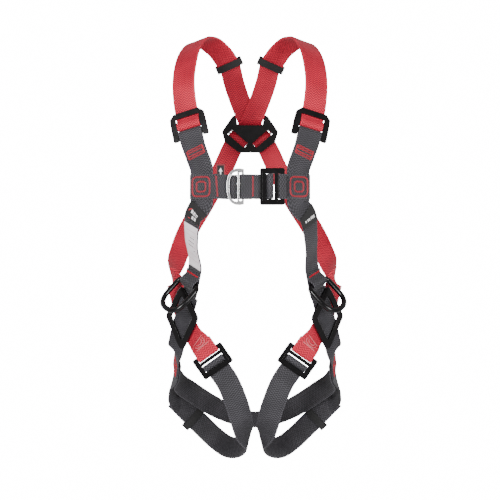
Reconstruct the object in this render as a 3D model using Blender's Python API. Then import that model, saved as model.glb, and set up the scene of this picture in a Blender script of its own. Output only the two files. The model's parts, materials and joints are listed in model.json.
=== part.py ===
"""Full-body fall-arrest harness in its worn shape: webbing straps, buckles, rings and plates.

Metres, +Z up. The wearer faces -Y. The origin is the middle of the wearer's waist.
LEFT and RIGHT are the wearer's, so the left side lies at +X.
"""

import math

import bpy
from mathutils import Matrix, Vector

# ---- driving dimensions, in metres ----
WIDTH = 0.045          # webbing width
THICK = 0.002          # webbing thickness
GAP = 0.0004           # free gap between touching layers
LAYER = THICK + GAP    # pitch of two stacked layers of webbing
LEAN = 0.010           # how far the hips hang towards the wearer's left

PLATE_T = 0.004        # shoulder adjusters and hip frames
HIP_DEPTH = PLATE_T / 2 + THICK / 2 + 0.0012    # how far behind a hip frame its strap lies

SIDES = {"right": -1, "left": 1}

# Centres of the fittings, for the left side; the right side mirrors x.
ADJUSTER = (0.1145, -0.093, 0.2328)
JUNCTION = (0.0886, -0.115, 0.116)
HIP = (0.1445, -0.0220, -0.134)
SIDE_RING = (0.1195, -0.042, -0.0640)
LEG_BUCKLE = (0.0825, -0.045, -0.2160)
CHEST_BUCKLE = (0.0405, -0.130, 0.115)
CHEST_RING = (-0.0128, -0.1273, 0.115)
DORSAL = (0.0, 0.125, 0.257)

JUNCTION_YAW = 18.0
SIDE_RING_YAW = 50.0
HIP_YAW = 38.0

DORSAL_T = 0.005
DORSAL_BODY = -(DORSAL_T / 2 + GAP + THICK / 2)
DORSAL_BAR_R = 0.003
DORSAL_BAR_V = 0.010
DORSAL_BAR_N = DORSAL_T / 2 + GAP + DORSAL_BAR_R
CROSS_LAYER = 0.0040   # pitch of the two crossing straps at the dorsal plate


# ---- small helpers ----
def clear_scene():
    for obj in list(bpy.data.objects):
        bpy.data.objects.remove(obj, do_unlink=True)


def material(name, colour, roughness, metallic=0.0):
    mat = bpy.data.materials.get(name) or bpy.data.materials.new(name)
    mat.use_nodes = True
    shader = mat.node_tree.nodes["Principled BSDF"]
    shader.inputs["Base Color"].default_value = (*colour, 1.0)
    shader.inputs["Roughness"].default_value = roughness
    shader.inputs["Metallic"].default_value = metallic
    mat.diffuse_color = (*colour, 1.0)
    return mat


def red_webbing():
    return material("red_webbing", (0.62, 0.03, 0.045), 0.75)


def grey_webbing():
    return material("grey_webbing", (0.075, 0.073, 0.085), 0.8)


def black_elastic():
    return material("black_elastic", (0.012, 0.012, 0.014), 0.85)


def black_coated_steel():
    return material("black_coated_steel", (0.012, 0.011, 0.013), 0.32, 0.4)


def black_plastic():
    return material("black_plastic", (0.02, 0.018, 0.02), 0.45)


def bright_steel():
    return material("bright_steel", (0.75, 0.74, 0.74), 0.2, 1.0)


def label_cloth():
    return material("label_cloth", (0.80, 0.76, 0.78), 0.7)


def smoothstep(value):
    value = min(max(value, 0.0), 1.0)
    return value * value * (3 - 2 * value)


def place(x, y, z):
    """A point of the worn shape: the harness hangs a little to the wearer's left below the chest."""
    return Vector((x + LEAN * smoothstep((0.12 - z) / 0.30), y, z))


def yawed(side, degrees):
    """Outward direction that turns from straight ahead (-Y) towards the given side."""
    angle = math.radians(degrees)
    return Vector((side * math.sin(angle), -math.cos(angle), 0))


def fitting(centre, along, outward):
    """Frame of a fitting: X across the webbing, Y along it, Z outward from the body."""
    z_axis = outward.normalized()
    y_axis = (along - z_axis * along.dot(z_axis)).normalized()
    x_axis = y_axis.cross(z_axis)
    turned = Matrix((x_axis, y_axis, z_axis)).transposed().to_4x4()
    return Matrix.Translation(centre) @ turned


def adjuster_frame(side):
    x, y, z = ADJUSTER
    along = Vector((-side * 0.22, -0.14, -0.96))
    return fitting(place(side * x, y, z), along, Vector((side * 0.25, -0.96, 0.10)))


def junction_frame(side):
    x, y, z = JUNCTION
    return fitting(place(side * x, y, z), Vector((0, 0, -1)), yawed(side, JUNCTION_YAW))


def hip_frame(side):
    """X across the body's flank, Y up, Z outward."""
    x, y, z = HIP
    outward = yawed(side, HIP_YAW)
    upward = Vector((0, 0, 1))
    turned = Matrix((upward.cross(outward), upward, outward)).transposed().to_4x4()
    return Matrix.Translation(place(side * x, y, z)) @ turned


def side_ring_frame(side):
    x, y, z = SIDE_RING
    return fitting(place(side * x, y, z), Vector((side * 0.04, 0.37, -0.93)), yawed(side, SIDE_RING_YAW))


def leg_buckle_frame(side):
    x, y, z = LEG_BUCKLE
    return fitting(place(side * x, y, z), Vector((-side * 0.575, 0.0, -0.82)), Vector((0, -1, 0)))


def chest_buckle_frame():
    return fitting(Vector(CHEST_BUCKLE), Vector((-1, 0, 0)), Vector((0, -1, 0)))


# ---- webbing ----
def station(point, normal):
    return Vector(point), Vector(normal).normalized()


def local_stations(frame, profile, across=0.0):
    """Stations from (along, outward) pairs in a fitting's frame, facing away from the inner side.

    Each profile entry is (along, outward, facing angle in degrees): 0 faces outward and
    90 faces further along the webbing.
    """
    stations = []
    for along, outward, facing in profile:
        angle = math.radians(facing)
        normal = Vector((0, math.sin(angle), math.cos(angle)))
        stations.append((frame @ Vector((across, along, outward)), frame.to_3x3() @ normal))
    return stations


def straight(frame, start, end, level=0.0):
    """A run that stays flat in a fitting's frame: doubled stations keep its ends from bulging."""
    step = 0.003 if end > start else -0.003
    profile = [(v, level, 0) for v in (start, start + step, end - step, end)]
    return local_stations(frame, profile)


def near_dorsal_plate(point):
    return point.y > 0.08 and abs(point.z - DORSAL[2]) < 0.070


def smooth_path(stations, spacing, finer=None):
    """A smooth curve through the stations, with its facing turned evenly in between."""
    points = [s[0] for s in stations]
    normals = [s[1] for s in stations]
    lengths = [max((b - a).length, 1e-6) for a, b in zip(points, points[1:])]
    slopes = []
    for i in range(len(points)):
        if i == 0:
            slopes.append((points[1] - points[0]) / lengths[0])
        elif i == len(points) - 1:
            slopes.append((points[-1] - points[-2]) / lengths[-1])
        else:
            before = (points[i] - points[i - 1]) / lengths[i - 1]
            after = (points[i + 1] - points[i]) / lengths[i]
            total = lengths[i - 1] + lengths[i]
            slopes.append((before * lengths[i] + after * lengths[i - 1]) / total)
    path = []
    for i, length in enumerate(lengths):
        pitch = spacing / 2 if finer and finer(points[i]) else spacing
        steps = max(1, round(length / pitch))
        for k in range(steps):
            t = k / steps
            a = 2 * t**3 - 3 * t**2 + 1
            b = t**3 - 2 * t**2 + t
            c = -2 * t**3 + 3 * t**2
            d = t**3 - t**2
            point = points[i] * a + slopes[i] * (b * length)
            point += points[i + 1] * c + slopes[i + 1] * (d * length)
            path.append((point, normals[i].lerp(normals[i + 1], smoothstep(t)).normalized()))
    path.append((points[-1], normals[-1]))
    return path


def build_mesh(name, vertices, faces, mat):
    mesh = bpy.data.meshes.new(name)
    mesh.from_pydata([tuple(v) for v in vertices], [], faces)
    mesh.materials.append(mat)
    obj = bpy.data.objects.new(name, mesh)
    bpy.context.scene.collection.objects.link(obj)
    return obj


def ribbon(name, path, mat, width=WIDTH, thick=THICK, columns=1, lift=None, level=0.0, span=None):
    """A strap of webbing as one closed body, swept along a path of points and facings."""
    first, last = span or (0, len(path) - 1)
    vertices = []
    for i in range(first, last + 1):
        point, normal = path[i]
        ahead = (path[min(i + 1, len(path) - 1)][0] - path[max(i - 1, 0)][0]).normalized()
        facing = (normal - ahead * normal.dot(ahead)).normalized()
        across = ahead.cross(facing)
        for face in (0.5, -0.5):
            for column in range(columns + 1):
                flat = point + across * (width * (column / columns - 0.5))
                if lift:
                    flat += lift(point, flat)
                vertices.append(flat + facing * (level + thick * face))
    return build_mesh(name, vertices, ribbon_faces(last - first, columns), mat)


def ribbon_faces(steps, columns):
    row = columns + 1
    ring = 2 * row
    faces = []
    for i in range(steps):
        a = i * ring
        b = a + ring
        for k in range(columns):
            faces.append((a + k, a + k + 1, b + k + 1))
            faces.append((a + k, b + k + 1, b + k))
            faces.append((a + row + k + 1, a + row + k, b + row + k + 1))
            faces.append((a + row + k, b + row + k, b + row + k + 1))
        faces.append((a + row, a, b, b + row))
        faces.append((a + columns, a + row + columns, b + row + columns, b + columns))
    end = steps * ring
    for k in range(columns):
        faces.append((k, row + k, row + k + 1, k + 1))
        faces.append((end + k + 1, end + row + k + 1, end + row + k, end + k))
    return faces


# ---- hardware ----
def rounded(corners, radius, steps=4):
    """A closed outline whose corners are arcs of the given radius."""
    outline = []
    count = len(corners)
    for i, corner in enumerate(corners):
        here = Vector(corner)
        back = Vector(corners[i - 1]) - here
        ahead = Vector(corners[(i + 1) % count]) - here
        half = back.angle(ahead) / 2
        reach = min(radius / math.tan(half), 0.49 * back.length, 0.49 * ahead.length)
        start = here + back.normalized() * reach
        end = here + ahead.normalized() * reach
        for k in range(steps + 1):
            t = k / steps
            outline.append(start * (1 - t) ** 2 + here * (2 * t * (1 - t)) + end * t**2)
    return outline


def box_outline(x0, y0, x1, y1, radius, steps=3):
    return rounded([(x0, y0), (x1, y0), (x1, y1), (x0, y1)], radius, steps)


def flat_plate(name, outlines, thick, edge, frame, mat, level=0.0, steps=1):
    """A flat plate with windows: the first outline is its rim and the others are openings."""
    curve = bpy.data.curves.new(name, "CURVE")
    curve.dimensions = "2D"
    curve.fill_mode = "BOTH"
    curve.extrude = thick / 2 - edge
    curve.bevel_depth = edge
    curve.bevel_resolution = steps
    curve.offset = -edge
    for outline in outlines:
        spline = curve.splines.new("POLY")
        spline.points.add(len(outline) - 1)
        for point, corner in zip(spline.points, outline):
            point.co = (corner[0], corner[1], 0, 1)
        spline.use_cyclic_u = True
    curve.materials.append(mat)
    obj = bpy.data.objects.new(name, curve)
    obj.matrix_world = frame @ Matrix.Translation((0, 0, level))
    bpy.context.scene.collection.objects.link(obj)
    return obj


def round_ring(name, outline, radius, frame, mat):
    """A ring bent from round bar along a closed outline in the frame's XY plane."""
    curve = bpy.data.curves.new(name, "CURVE")
    curve.dimensions = "3D"
    curve.bevel_depth = radius
    curve.bevel_resolution = 2
    spline = curve.splines.new("POLY")
    spline.points.add(len(outline) - 1)
    for point, corner in zip(spline.points, outline):
        point.co = (corner[0], corner[1], 0, 1)
    spline.use_cyclic_u = True
    curve.materials.append(mat)
    obj = bpy.data.objects.new(name, curve)
    obj.matrix_world = frame
    bpy.context.scene.collection.objects.link(obj)
    return obj


def d_outline(half_base, reach, corner, half_end, end_radius):
    """Outline of a D-shaped ring: its straight bar lies on X, its bow reaches along -Y."""
    corners = [(-half_base, 0), (half_base, 0), (half_end, -reach), (-half_end, -reach)]
    outline = []
    for i, radius in enumerate((corner, corner, end_radius, end_radius)):
        part = rounded(corners, radius, 7)
        outline += part[i * 8:(i + 1) * 8]
    return outline


# Shoulder adjuster: a three-bar slider, Y runs down the webbing.
ADJUSTER_HALF = (0.0350, 0.025)
ADJUSTER_SLOT = 0.0234
ADJUSTER_WRAP = [
    (-0.0300, -0.0034, 0),
    (-0.0270, -0.0034, 0),
    (-0.0185, -0.0034, 0),
    (-0.0125, -0.0012, -40),
    (-0.0070, 0.0028, -35),
    (-0.0045, 0.0036, -5),
    (0.0012, 0.0036, 10),
    (0.0040, 0.0018, 65),
    (0.0050, -0.0010, 95),
    (0.0036, -0.0045, 140),
    (0.0000, -0.0060, 180),
    (-0.0270, -0.0060, 180),
    (-0.0300, -0.0060, 180),
]


def shoulder_adjuster(side_name, side):
    half_x, half_y = ADJUSTER_HALF
    slot = ADJUSTER_SLOT
    rim = rounded(
        [(-half_x + 0.0100, -0.0285), (half_x - 0.0100, -0.0285), (half_x - 0.0010, -0.0200),
         (half_x, -0.004), (half_x, half_y),
         (0.0240, half_y), (0.0240, 0.0175), (-0.0240, 0.0175), (-0.0240, half_y),
         (-half_x, half_y), (-half_x, -0.004), (-half_x + 0.0010, -0.0200)],
        0.0024, 3)
    openings = [box_outline(-slot, -0.018, slot, -0.005, 0.0015, 2),
                box_outline(-slot, 0.002, slot, 0.0105, 0.0015, 2)]
    return flat_plate(f"shoulder_adjuster_{side_name}", [rim] + openings, PLATE_T, 0.0008,
                      adjuster_frame(side), black_coated_steel())


# Pass-through buckle: Y runs from the sewn loop to the adjusting side.
BUCKLE_HALF = (0.0335, 0.0225)
BUCKLE_T = 0.0035
BUCKLE_WINDOW = (0.0234, -0.0145, 0.017)
BUCKLE_LOOP = BUCKLE_T / 2 + GAP + THICK / 2
INSERT_T = 0.003
INSERT_LEVEL = BUCKLE_T / 2 + 0.0004 + INSERT_T / 2
INSERT_WRAP = [
    (0.0230, -0.00325, 0),
    (0.0165, -0.00315, 0),
    (0.0122, -0.0008, 50),
    (0.0093, 0.0036, 70),
    (0.0075, 0.0060, 40),
    (0.0040, 0.0067, 0),
    (0.0005, 0.0060, -40),
    (-0.0012, 0.0034, -85),
    (0.0002, -0.0009, -125),
    (0.0045, -0.0042, -150),
    (0.0110, -0.0057, -175),
    (0.0230, -0.00575, -180),
]
LOOP_WRAP = [
    (-0.0240, BUCKLE_LOOP, 0),
    (-0.0205, BUCKLE_LOOP, 0),
    (-0.0150, BUCKLE_LOOP, 0),
    (-0.0122, 0.0020, 60),
    (-0.0116, 0.0, 90),
    (-0.0122, -0.0020, 120),
    (-0.0150, -BUCKLE_LOOP, 180),
    (-0.0205, -BUCKLE_LOOP, 180),
    (-0.0240, -BUCKLE_LOOP, 180),
]


def buckle(prefix, frame):
    half_x, half_y = BUCKLE_HALF
    window_x, window_low, window_high = BUCKLE_WINDOW
    rim = box_outline(-half_x, -half_y, half_x, half_y, 0.004, 3)
    window = box_outline(-window_x, window_low, window_x, window_high, 0.0015, 2)
    flat_plate(f"{prefix}_frame", [rim, window], BUCKLE_T, 0.0008, frame, black_coated_steel())
    insert = box_outline(-0.028, -0.0105, 0.028, 0.0185, 0.003, 3)
    slots = [box_outline(-0.0234, -0.0036, 0.0234, 0.0015, 0.0010, 2),
             box_outline(-0.0234, 0.0065, 0.0234, 0.0115, 0.0010, 2)]
    flat_plate(f"{prefix}_insert", [insert] + slots, INSERT_T, 0.0007, frame,
               black_coated_steel(), level=INSERT_LEVEL)


def hip_plate(side_name, side):
    """A tall rhombic ring that holds the crossing of the front strap and the back strap."""
    rim = rounded([(0, 0.068), (0.0445, 0.001), (0, -0.070), (-0.0445, 0.001)], 0.012, 6)
    opening = rounded([(0, 0.047), (0.0290, 0.001), (0, -0.047), (-0.0290, 0.001)], 0.005, 4)
    return flat_plate(f"hip_frame_{side_name}", [rim, opening], PLATE_T, 0.001,
                      hip_frame(side), black_plastic())


# Dorsal plate: X across, Y up, Z outward (to the back).
DORSAL_SLOT = (0.0272, 0.0308, 0.019, 0.0335)
DIAGONAL_CENTRE = (0.027, -0.0105)
DIAGONAL_ANGLE = 41.0
DIAGONAL_HALF = (0.0240, 0.007)


def dorsal_frame():
    turned = Matrix((Vector((-1, 0, 0)), Vector((0, 0, 1)), Vector((0, 1, 0)))).transposed().to_4x4()
    return Matrix.Translation(DORSAL) @ turned


def diagonal_slot(side):
    centre = Vector((side * DIAGONAL_CENTRE[0], DIAGONAL_CENTRE[1]))
    turn = Matrix.Rotation(math.radians(side * DIAGONAL_ANGLE), 2)
    half_x, half_y = DIAGONAL_HALF
    outline = box_outline(-half_x, -half_y, half_x, half_y, 0.002, 2)
    return [centre + turn @ point for point in outline]


def dorsal_plate():
    half = [(0.038, 0.041), (0.0625, 0.005), (0.056, -0.017), (0.024, -0.041)]
    corners = half + [(-x, y) for x, y in reversed(half)]
    low_x, high_x, low, high = DORSAL_SLOT
    slot = [(-low_x, low), (low_x, low), (high_x, high), (-high_x, high)]
    outlines = [rounded(corners, 0.009, 4), rounded(slot, 0.002, 2),
                diagonal_slot(-1), diagonal_slot(1)]
    return flat_plate("dorsal_plate", outlines, DORSAL_T, 0.001, dorsal_frame(), black_plastic())


def dorsal_level(v, outer):
    """How far out from the plate's middle a crossing strap lies at height v on the plate."""
    body = DORSAL_BODY - CROSS_LAYER
    over_bar = DORSAL_BAR_N + DORSAL_BAR_R + GAP + THICK / 2 + 0.0005
    behind = DORSAL_T / 2 + GAP + THICK / 2 + 0.0002
    if v > DORSAL_BAR_V + 0.0030:
        level = over_bar + (body - over_bar) * smoothstep((v - DORSAL_BAR_V - 0.0030) / 0.0200)
    else:
        level = behind + (over_bar - behind) * smoothstep((v - DORSAL_BAR_V + 0.0125) / 0.0095)
    return level + (CROSS_LAYER * smoothstep((v + 0.045) / 0.025) if outer else 0.0)


def strap_over_back(outer):
    """Follows the dorsal plate's slots and the ring's bar where the two back straps cross."""
    def lift(centre, point):
        v = point.z - DORSAL[2]
        if point.y < 0.05 or abs(v) > 0.075:
            return Vector((0, 0, 0))
        base = DORSAL[1] + dorsal_level(v, outer)
        return Vector((0, base - centre.y, 0)) * (1 - smoothstep((abs(v) - 0.050) / 0.025))
    return lift


def main_strap(side_name, side):
    """Red webbing from the shoulder adjuster over the shoulder and the dorsal plate to the other leg."""
    outer = side < 0
    other = -side
    wrap = local_stations(adjuster_frame(side), ADJUSTER_WRAP)
    body = DORSAL[1] + DORSAL_BODY - (0.0 if outer else CROSS_LAYER)
    shoulder = [
        station(place(side * 0.1262, -0.0800, 0.315), (side * 0.30, -0.93, 0.18)),
        station(place(side * 0.1250, -0.0620, 0.352), (side * 0.26, -0.77, 0.58)),
        station(place(side * 0.1172, -0.0290, 0.397), (side * 0.26, -0.46, 0.84)),
        station(place(side * 0.0995, 0.0140, 0.4285), (side * 0.20, -0.02, 0.98)),
        station(place(side * 0.0720, 0.0520, 0.4250), (side * 0.14, 0.55, 0.82)),
        station(place(side * 0.0435, 0.0880, 0.3955), (side * 0.04, 0.86, 0.50)),
        station(place(side * 0.0360, 0.1020, 0.3680), (0, 0.96, 0.28)),
    ]
    back = [
        station((side * 0.0200, body, 0.3240), (0, 1, 0)),
        station((side * 0.0080, body, 0.2950), (0, 1, 0)),
        station((-side * 0.0040, 0.127, 0.2720), (0, 1, 0)),
        station((-side * 0.0270, 0.129, 0.2465), (0, 1, 0)),
        station((-side * 0.0400, 0.129, 0.2250), (0, 1, 0)),
        station((-side * 0.0560, 0.129, 0.1900), (0, 1, 0)),
        station(place(other * 0.0980, 0.124, 0.1100), (other * 0.10, 0.99, 0)),
        station(place(other * 0.1380, 0.106, 0.0400), (other * 0.24, 0.97, 0)),
        station(place(other * 0.1590, 0.066, -0.0180), (other * 0.48, 0.88, 0)),
        station(place(other * 0.1660, 0.018, -0.0560), (other * 0.92, 0.30, 0)),
    ]
    over_hip = hip_stations(other, [(-0.0270, 0.070), (-0.0258, 0.067), (-0.0080, 0.018), (0.0060, -0.010),
                                    (0.0240, -0.0322), (0.0255, -0.0340)], -HIP_DEPTH - LAYER)
    buckle_frame = leg_buckle_frame(other)
    approach = local_stations(buckle_frame, [(-0.0310, BUCKLE_LOOP + 0.0003, 0)])
    loop = local_stations(buckle_frame, LOOP_WRAP + [(-0.044, -BUCKLE_LOOP - 0.0003, 180)])
    tail = under(shoulder[:-1])
    stations = tail[::-1] + wrap[::-1] + shoulder + back + over_hip + approach + loop
    path = smooth_path(stations, 0.013, near_dorsal_plate)
    ribbon(f"main_strap_{side_name}", path, red_webbing(), columns=6, lift=strap_over_back(outer))
    return path


def under(stations):
    """The same run one layer further in, facing the body."""
    return [(point - normal * LAYER, -normal) for point, normal in stations]


def hip_stations(side, crossing, level):
    frame = hip_frame(side)
    outward = frame.to_3x3() @ Vector((0, 0, 1))
    return [(frame @ Vector((-side * a, b, level)), outward) for a, b in crossing]


# Sewn loop round the lower bar of the shoulder adjuster.
FRONT_LOOP = [
    (0.0470, -0.0036, 180),
    (0.0200, -0.0034, 180),
    (0.0112, -0.0034, 180),
    (0.0085, -0.0020, 240),
    (0.0079, 0.0, 270),
    (0.0085, 0.0020, 300),
    (0.0112, 0.0034, 360),
    (0.0200, 0.0034, 360),
    (0.0230, 0.0034, 360),
]


def front_stations(side):
    """From the shoulder adjuster down the chest and the flank, over the hip frame to the hip joint."""
    upper = local_stations(adjuster_frame(side), FRONT_LOOP)
    chest = [station(place(side * 0.0985, -0.1080, 0.176), yawed(side, 16))]
    junction = straight(junction_frame(side), -0.028, 0.028)
    flank = [
        station(place(side * 0.1050, -0.1055, 0.0640), yawed(side, 43)),
        station(place(side * 0.1130, -0.0840, 0.0180), yawed(side, 50)),
    ]
    ring = straight(side_ring_frame(side), -0.028, 0.018)
    hip = hip_stations(side, [(0.0190, 0.047), (0.0176, 0.044), (0.0080, 0.018), (-0.0050, -0.012),
                              (-0.0205, -0.058), (-0.0215, -0.061)], -HIP_DEPTH)
    return upper + chest + junction + flank + ring + hip + hip_joint(side)


def hip_joint(side, level=0.0):
    """The sewn joint at the outer hip where front, leg and seat straps meet."""
    start = Vector((0.1600, 0.012, -0.222))
    end = Vector((0.1660, 0.034, -0.252))
    normal = Vector((side * 0.955, -0.29, 0.0)).normalized()
    run = []
    for t in (0.0, 0.09, 0.91, 1.0):
        x, y, z = start.lerp(end, t)
        run.append((place(side * x, y, z) + normal * level, normal))
    return run


def front_strap(side_name, side):
    path = smooth_path(front_stations(side), 0.0085)
    ribbon(f"front_strap_{side_name}", path, grey_webbing())
    return path


def leg_stations(side):
    """The thigh loop: behind the thigh, between the legs and up the front to the leg buckle."""
    behind = [
        station(place(side * 0.1760, 0.066, -0.2850), (side * 0.98, 0.20, 0.02)),
        station(place(side * 0.1720, 0.088, -0.3180), (side * 0.86, 0.50, 0.00)),
        station(place(side * 0.1490, 0.101, -0.3480), (side * 0.40, 0.90, -0.12)),
        station(place(side * 0.1160, 0.108, -0.3830), (side * 0.14, 0.95, -0.28)),
        station(place(side * 0.0820, 0.096, -0.4110), (0, 0.90, -0.44)),
        station(place(side * 0.0520, 0.062, -0.4180), (-side * 0.30, 0.76, -0.56)),
        station(place(side * 0.0270, 0.034, -0.4080), (-side * 0.74, 0.40, -0.54)),
    ]
    ahead = [
        station(place(side * 0.0122, 0.006, -0.3860), (-side * 0.96, -0.02, -0.28)),
        station(place(side * 0.0210, -0.026, -0.3560), (-side * 0.56, -0.76, -0.33)),
        station(place(side * 0.0345, -0.044, -0.3040), (-side * 0.06, -0.99, -0.10)),
    ]
    return behind, ahead + local_stations(leg_buckle_frame(side), [(0.045, -0.0034, 0)])


def leg_strap(side_name, side):
    """The thigh strap with its tail, which comes back on the inside as far as the keeper."""
    start = hip_joint(side, -LAYER)
    behind, ahead = leg_stations(side)
    wrap = local_stations(leg_buckle_frame(side), INSERT_WRAP)
    tail = under(behind + ahead)
    last = tail[2]
    free_end = (last[0] + (last[0] - tail[3][0]).normalized() * 0.036, last[1])
    stations = start + behind + ahead + wrap + tail[:1:-1] + [free_end]
    path = smooth_path(stations, 0.013)
    ribbon(f"leg_strap_{side_name}", path, grey_webbing())
    return path


def seat_strap():
    half = [
        (0.1600, 0.062, -0.2800, (0.88, 0.46, 0.0)),
        (0.1330, 0.088, -0.3080, (0.60, 0.76, -0.22)),
        (0.0960, 0.108, -0.3380, (0.28, 0.86, -0.42)),
        (0.0520, 0.117, -0.3620, (0.08, 0.72, -0.69)),
        (0.0, 0.119, -0.3740, (0.0, 0.55, -0.83)),
    ]
    runs = {}
    for side in (-1, 1):
        runs[side] = hip_joint(side, -2 * LAYER - 0.0012)
        for x, y, z, facing in half:
            towards = (side * facing[0], facing[1], facing[2])
            runs[side].append(station(place(side * x, y, z), towards))
    stations = runs[-1] + runs[1][-2::-1]
    ribbon("seat_strap", smooth_path(stations, 0.013), grey_webbing())


def junction_station(side, inward, level):
    """A station on the horizontal line through the chest junction, facing outward."""
    frame = junction_frame(side)
    outward = frame.to_3x3() @ Vector((0, 0, 1))
    return frame @ Vector((side * inward, 0, level)), outward


def chest_straps():
    ring_x, ring_y, ring_z = CHEST_RING
    rear = ring_y + 0.002 + GAP + THICK / 2
    front = ring_y - 0.002 - GAP - THICK / 2
    right = [junction_station(-1, k, LAYER) for k in (-0.0225, 0.0, 0.0195, 0.0225)]
    right += [
        station((-0.045, rear + LAYER - 0.0006, ring_z), (-0.06, -1, 0)),
        station((ring_x, rear + LAYER, ring_z), (0, -1, 0)),
        station((0.003, rear + LAYER, ring_z), (0, -1, 0)),
    ]
    ribbon("chest_strap_right", smooth_path(right, 0.013), grey_webbing())

    buckle_frame = chest_buckle_frame()
    middle = [
        station((0.003, rear, ring_z), (0, 1, 0)),
        station((ring_x + 0.0015, rear, ring_z), (0, 1, 0)),
        station((ring_x - 0.0028, rear - 0.0006, ring_z), (-0.7, 0.7, 0)),
        station((ring_x - 0.0039, ring_y, ring_z), (-1, 0, 0)),
        station((ring_x - 0.0028, front + 0.0006, ring_z), (-0.7, -0.7, 0)),
        station((ring_x + 0.0015, front, ring_z), (0, -1, 0)),
    ]
    middle += local_stations(buckle_frame, INSERT_WRAP)
    middle += local_stations(buckle_frame, [(0.0320, -0.00575, 180)])
    ribbon("chest_strap_middle", smooth_path(middle, 0.013), grey_webbing())

    left = [junction_station(1, k, LAYER) for k in (-0.0225, 0.0, 0.0195, 0.0225)]
    loop = [(u, n, facing) for u, n, facing in LOOP_WRAP[::-1]]
    left += [(p, -q) for p, q in local_stations(buckle_frame, loop)]
    left += [(p, -q) for p, q in local_stations(buckle_frame, [(-0.0250, BUCKLE_LOOP, 0)])]
    ribbon("chest_strap_left", smooth_path(left, 0.013), grey_webbing())

    for side_name, side in SIDES.items():
        backing = [junction_station(side, k, -LAYER) for k in (-0.0225, 0.0225)]
        ribbon(f"junction_backing_{side_name}", smooth_path(backing, 0.013), grey_webbing())


# Webbing tunnel that holds the base bar of a side ring on the front strap.
SIDE_RING_R = 0.0052
SIDE_BAR = THICK / 2 + GAP + SIDE_RING_R
SIDE_RING_TILT = 40.0
TUNNEL = [
    (-0.0230, LAYER, 0),
    (-0.0138, LAYER + 0.0004, 0),
    (-0.0067, SIDE_BAR + 0.0036, -50),
    (0.0, SIDE_BAR + SIDE_RING_R + GAP + THICK / 2 + 0.0007, 0),
    (0.0067, SIDE_BAR + 0.0036, 50),
    (0.0131, LAYER + 0.0012, 0),
]


def side_ring(side_name, side):
    frame = side_ring_frame(side)
    ribbon(f"ring_tunnel_{side_name}", smooth_path(local_stations(frame, TUNNEL), 0.004), grey_webbing())
    turned = frame @ Matrix.Translation((0, 0, SIDE_BAR))
    turned = turned @ Matrix.Rotation(math.radians(SIDE_RING_TILT), 4, "X")
    outline = [(x, -y) for x, y in d_outline(0.0310, 0.066, 0.0120, 0.0310, 0.030)]
    round_ring(f"side_ring_{side_name}", outline, SIDE_RING_R, turned, black_coated_steel())


DORSAL_RING_TILT = 68.0


def dorsal_ring():
    frame = dorsal_frame() @ Matrix.Translation((0, DORSAL_BAR_V, DORSAL_BAR_N))
    frame = frame @ Matrix.Rotation(math.radians(-DORSAL_RING_TILT), 4, "X")
    outline = d_outline(0.0480, 0.060, 0.006, 0.036, 0.030)
    round_ring("dorsal_ring", outline, DORSAL_BAR_R, frame, bright_steel())


def bow_outline(start, reach, half_y, steps):
    """A full, rounded bow from (start, -half_y) out to (start + reach, 0) and back."""
    outline = []
    for k in range(steps + 1):
        angle = math.pi * (k / steps - 0.5)
        outward = abs(math.cos(angle)) ** 0.80
        height = math.copysign(abs(math.sin(angle)) ** 0.80, angle)
        outline.append(Vector((start + reach * outward, half_y * height)))
    return outline


def sternal_ring():
    """A flat two-bar D: the middle strap is looped round its outer bar."""
    turned = Matrix((Vector((-1, 0, 0)), Vector((0, 0, 1)), Vector((0, 1, 0)))).transposed().to_4x4()
    frame = Matrix.Translation(CHEST_RING) @ turned
    rim = [Vector((-0.0021, -0.0320))] + bow_outline(0.0060, 0.0240, 0.0335, 14) + [Vector((-0.0021, 0.0320))]
    slot = box_outline(0.0021, -0.0260, 0.0064, 0.0260, 0.0010, 2)
    eye = bow_outline(0.0104, 0.0142, 0.0272, 12)
    return flat_plate("sternal_ring", [rim, slot, eye], 0.004, 0.0018, frame, bright_steel(), steps=2)


def frame_on_path(path, target, outward):
    """Frame of a band on a strap: X across the webbing, Y outward, Z along it."""
    facing_out = [i for i in range(1, len(path) - 1) if path[i][1].dot(outward) > 0]
    nearest = min(facing_out, key=lambda i: (path[i][0] - target).length)
    point, normal = path[nearest]
    along = (path[nearest + 1][0] - path[nearest - 1][0]).normalized()
    outward = (normal - along * normal.dot(along)).normalized()
    turned = Matrix((outward.cross(along), outward, along)).transposed().to_4x4()
    return Matrix.Translation(point) @ turned


KEEPER_LENGTH = 0.015
KEEPER_WALL = 0.0012
KEEPER_ROOM = 0.0029


def keeper(name, frame):
    """Elastic band round a strap and its tail."""
    half_x = WIDTH / 2 + 2 * KEEPER_ROOM
    low = -THICK / 2 - LAYER - KEEPER_ROOM
    high = THICK / 2 + KEEPER_ROOM
    wall = KEEPER_WALL
    rim = box_outline(-half_x - wall, low - wall, half_x + wall, high + wall, 0.0012, 2)
    hole = box_outline(-half_x, low, half_x, high, 0.0005, 2)
    flat_plate(name, [rim, hole], KEEPER_LENGTH, 0.0002, frame, black_elastic())


def tag_on_strap(name, path, low, high, width, thick, mat):
    """A label sewn flat on the outside of a front strap between two heights."""
    inside = [i for i, (point, normal) in enumerate(path) if low <= point.z <= high and point.y < 0]
    level = THICK / 2 + GAP + thick / 2
    ribbon(name, path, mat, width=width, thick=thick, level=level, span=(inside[0], inside[-1]))


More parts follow.
